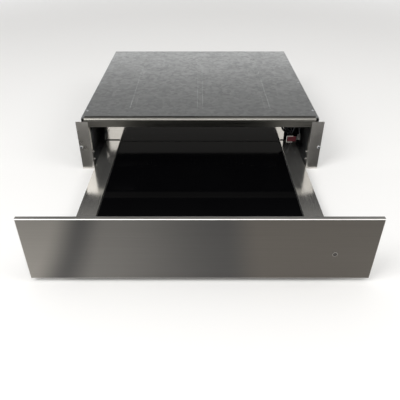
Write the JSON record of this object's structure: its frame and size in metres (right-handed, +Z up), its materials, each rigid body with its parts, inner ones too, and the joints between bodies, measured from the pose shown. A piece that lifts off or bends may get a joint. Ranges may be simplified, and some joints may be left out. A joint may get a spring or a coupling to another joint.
{
  "type": "built in warming drawer",
  "caption": "Built in warming drawer with a handleless steel front, heated black glass floor, telescopic runners and a sheet steel housing.",
  "frame": {"origin": "centre of the housing's underside, on the floor of the niche", "axes": "+Z up, +Y into the niche, -Y towards the user, +X to the right seen from the front; the drawer is pulled out at rest"},
  "size_m": [0.595, 0.9378, 0.1385],
  "materials": {
    "stainless_brushed": "horizontally brushed stainless steel",
    "stainless_polished": "bright stainless steel",
    "galvanised": "galvanised sheet steel",
    "zinc_bright": "bright zinc plated steel",
    "black_glass": "black heat resistant glass",
    "silicone": "black silicone",
    "heater_foil": "aluminium foil heater",
    "mineral_wool": "mineral fibre blanket",
    "plastic_black": "moulded black plastic",
    "plastic_white": "white moulded plastic",
    "plastic_red": "dark red moulded plastic",
    "board_green": "circuit board",
    "motor_steel": "laminated steel and coil",
    "lens": "tinted translucent lens",
    "cable_black": "black cable sheath"
  },
  "bodies": {
    "housing": {"air_duct": "galvanised", "base_plate": "galvanised", "cable_clips": "plastic_black", "cable_gland": "plastic_black", "drawer_harness": "cable_black", "fan_motor": "motor_steel", "flange_left": "galvanised", "flange_right": "galvanised", "guide_buttons": "plastic_white", "housing_harness": "cable_black", "housing_screws": "zinc_bright", "latch_body": "plastic_black", "latch_spring": "zinc_bright", "outer_runner_left": "zinc_bright", "outer_runner_right": "zinc_bright", "rail_rivets": "zinc_bright", "rear_baffle": "galvanised", "rear_wall": "galvanised", "runner_bracket_left": "galvanised", "runner_bracket_right": "galvanised", "side_wall_left": "galvanised", "side_wall_right": "galvanised", "terminal_block": "plastic_white", "terminal_box": "plastic_black", "top_cover": "galvanised", "top_rail": "stainless_polished"},
    "drawer": {"front_shell": "stainless_brushed", "front_liner": "galvanised", "front_buffers": "silicone", "front_gussets": "galvanised", "drawer_screws": "zinc_bright", "status_bezel": "stainless_polished", "status_lens": "lens", "status_lamp": "plastic_white", "deck_frame": "stainless_polished", "glass_plate": "black_glass", "glass_gasket": "silicone", "heating_element": "heater_foil", "insulation_blanket": "mineral_wool", "overheat_cutout": "zinc_bright", "base_pan": "galvanised", "back_wall": "stainless_polished", "control_case": "plastic_black", "thermostat": "plastic_black", "control_board": "board_green", "connector_bracket": "stainless_polished", "drawer_connector": "plastic_red", "inner_runner_left": "zinc_bright", "inner_runner_right": "zinc_bright"},
    "mid_runner_left": {"mid_runner_left": "zinc_bright"},
    "mid_runner_right": {"mid_runner_right": "zinc_bright"},
    "outer_cage_left": {"outer_cage_left": "zinc_bright"},
    "outer_cage_right": {"outer_cage_right": "zinc_bright"},
    "inner_cage_left": {"inner_cage_left": "zinc_bright"},
    "inner_cage_right": {"inner_cage_right": "zinc_bright"},
    "knob": {"temperature_knob": "plastic_black", "thermostat_shaft": "zinc_bright"},
    "button": {"power_button": "plastic_black"},
    "plunger": {"latch_plunger": "plastic_black"},
    "fan": {"fan_impeller": "plastic_black"}
  },
  "joints": [
    {"name": "drawer_slide", "type": "slide", "parent": "housing", "child": "drawer", "axis": [0, -1, 0], "range_m": [-0.374, 0], "deforming": ["drawer_harness"]},
    {"name": "mid_runner_left_slide", "type": "slide", "parent": "housing", "child": "mid_runner_left", "axis": [0, -1, 0], "range_m": [-0.187, 0]},
    {"name": "mid_runner_right_slide", "type": "slide", "parent": "housing", "child": "mid_runner_right", "axis": [0, -1, 0], "range_m": [-0.187, 0]},
    {"name": "outer_cage_left_slide", "type": "slide", "parent": "housing", "child": "outer_cage_left", "axis": [0, -1, 0], "range_m": [-0.0935, 0]},
    {"name": "outer_cage_right_slide", "type": "slide", "parent": "housing", "child": "outer_cage_right", "axis": [0, -1, 0], "range_m": [-0.0935, 0]},
    {"name": "inner_cage_left_slide", "type": "slide", "parent": "housing", "child": "inner_cage_left", "axis": [0, -1, 0], "range_m": [-0.2805, 0]},
    {"name": "inner_cage_right_slide", "type": "slide", "parent": "housing", "child": "inner_cage_right", "axis": [0, -1, 0], "range_m": [-0.2805, 0]},
    {"name": "knob_turn", "type": "hinge", "parent": "drawer", "child": "knob", "pos_m": [0.17075, -0.6245, 0.0845], "axis": [0, 0, -1], "range_deg": [0, 270]},
    {"name": "button_press", "type": "slide", "parent": "drawer", "child": "button", "axis": [0, 0, -1], "range_m": [0, 0.002], "stiffness_N_per_m": 300, "springref_m": -0.001},
    {"name": "latch_press", "type": "slide", "parent": "housing", "child": "plunger", "axis": [0, 1, 0], "range_m": [0, 0.004], "stiffness_N_per_m": 400, "springref_m": -0.004, "deforming": ["latch_spring"]},
    {"name": "fan_spin", "type": "hinge", "parent": "housing", "child": "fan", "pos_m": [0, 0.2435, 0.0669], "axis": [0, 1, 0], "continuous": true}
  ],
  "couplings": [
    {"joint": "mid_runner_left_slide", "follows": "drawer_slide", "ratio": 0.5},
    {"joint": "mid_runner_right_slide", "follows": "drawer_slide", "ratio": 0.5},
    {"joint": "outer_cage_left_slide", "follows": "drawer_slide", "ratio": 0.25},
    {"joint": "outer_cage_right_slide", "follows": "drawer_slide", "ratio": 0.25},
    {"joint": "inner_cage_left_slide", "follows": "drawer_slide", "ratio": 0.75},
    {"joint": "inner_cage_right_slide", "follows": "drawer_slide", "ratio": 0.75}
  ]
}
